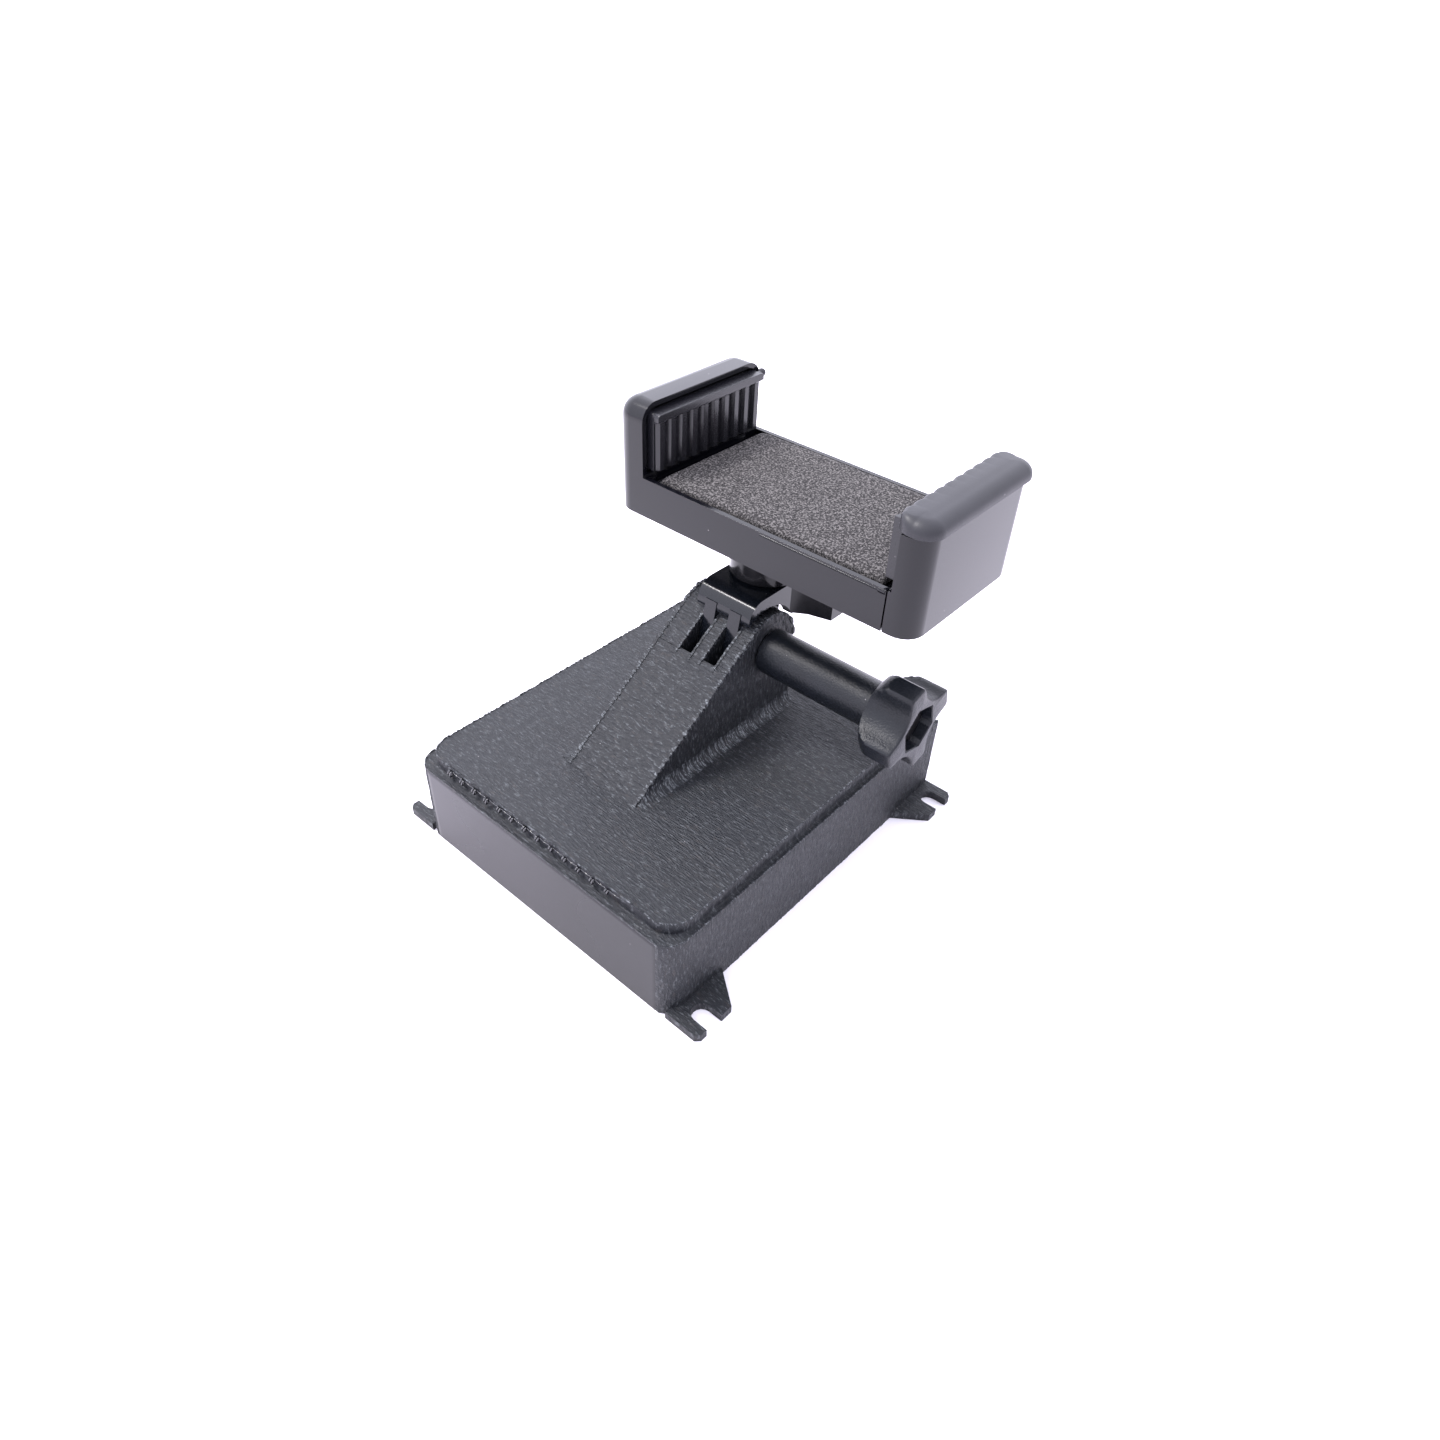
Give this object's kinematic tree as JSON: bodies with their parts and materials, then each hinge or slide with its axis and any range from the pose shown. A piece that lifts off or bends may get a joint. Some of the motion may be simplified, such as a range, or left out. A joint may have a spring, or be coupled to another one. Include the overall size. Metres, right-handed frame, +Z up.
{
  "type": "pan tilt camera mount",
  "caption": "Printed box base with slotted ears and a three-finger tilt arm, a thumbscrew, a screw adapter and a spring device clamp that pans.",
  "frame": {"origin": "middle of the front wall's bottom rim, on the surface the base stands on", "axes": "+X along the tilt axis towards the thumbscrew, +Y from the front face to the back, +Z up"},
  "size_m": [0.0859, 0.084, 0.084],
  "materials": {
    "printed_black": "matt 3-D print with fine layer lines",
    "moulded_black": "satin moulded ABS",
    "gloss_black": "glossy moulded plastic",
    "grip_rubber": "soft matt rubber",
    "grey_foam": "speckled closed-cell foam",
    "chrome": "polished",
    "steel": "plain",
    "brass": "plain"
  },
  "bodies": {
    "housing": {"base_housing": "printed_black", "dome_nut": "chrome"},
    "adapter": {"screw_adapter": "gloss_black", "quarter_inch_stud": "steel", "grip_washer": "grip_rubber"},
    "clamp": {"clamp_base": "moulded_black", "threaded_insert": "brass", "bed_plate": "moulded_black", "bed_screw_1": "steel", "bed_screw_2": "steel", "bed_screw_3": "steel", "bed_screw_4": "steel", "foam_pad": "grey_foam", "left_grip_pad": "grip_rubber", "spring_front": "steel", "spring_rear": "steel"},
    "jaw": {"sliding_jaw": "moulded_black", "right_grip_cap": "grip_rubber", "guide_rod_front": "steel", "guide_rod_rear": "steel"},
    "knob": {"thumb_knob": "gloss_black", "tilt_bolt": "steel"}
  },
  "joints": [
    {"name": "tilt", "type": "hinge", "parent": "housing", "child": "adapter", "pos_m": [0, 0.0562, 0.0385], "axis": [1, 0, 0], "range_deg": [-55, 25]},
    {"name": "pan", "type": "hinge", "parent": "adapter", "child": "clamp", "pos_m": [0, 0.0639, 0.0503], "axis": [0, 0, 1], "range_deg": [-180, 180]},
    {"name": "jaw_slide", "type": "slide", "parent": "clamp", "child": "jaw", "axis": [1, 0, 0], "range_m": [0, 0.03], "stiffness_N_per_m": 80, "springref_m": -0.03},
    {"name": "knob_spin", "type": "hinge", "parent": "housing", "child": "knob", "pos_m": [0.02, 0.0562, 0.0385], "axis": [1, 0, 0], "continuous": true}
  ]
}
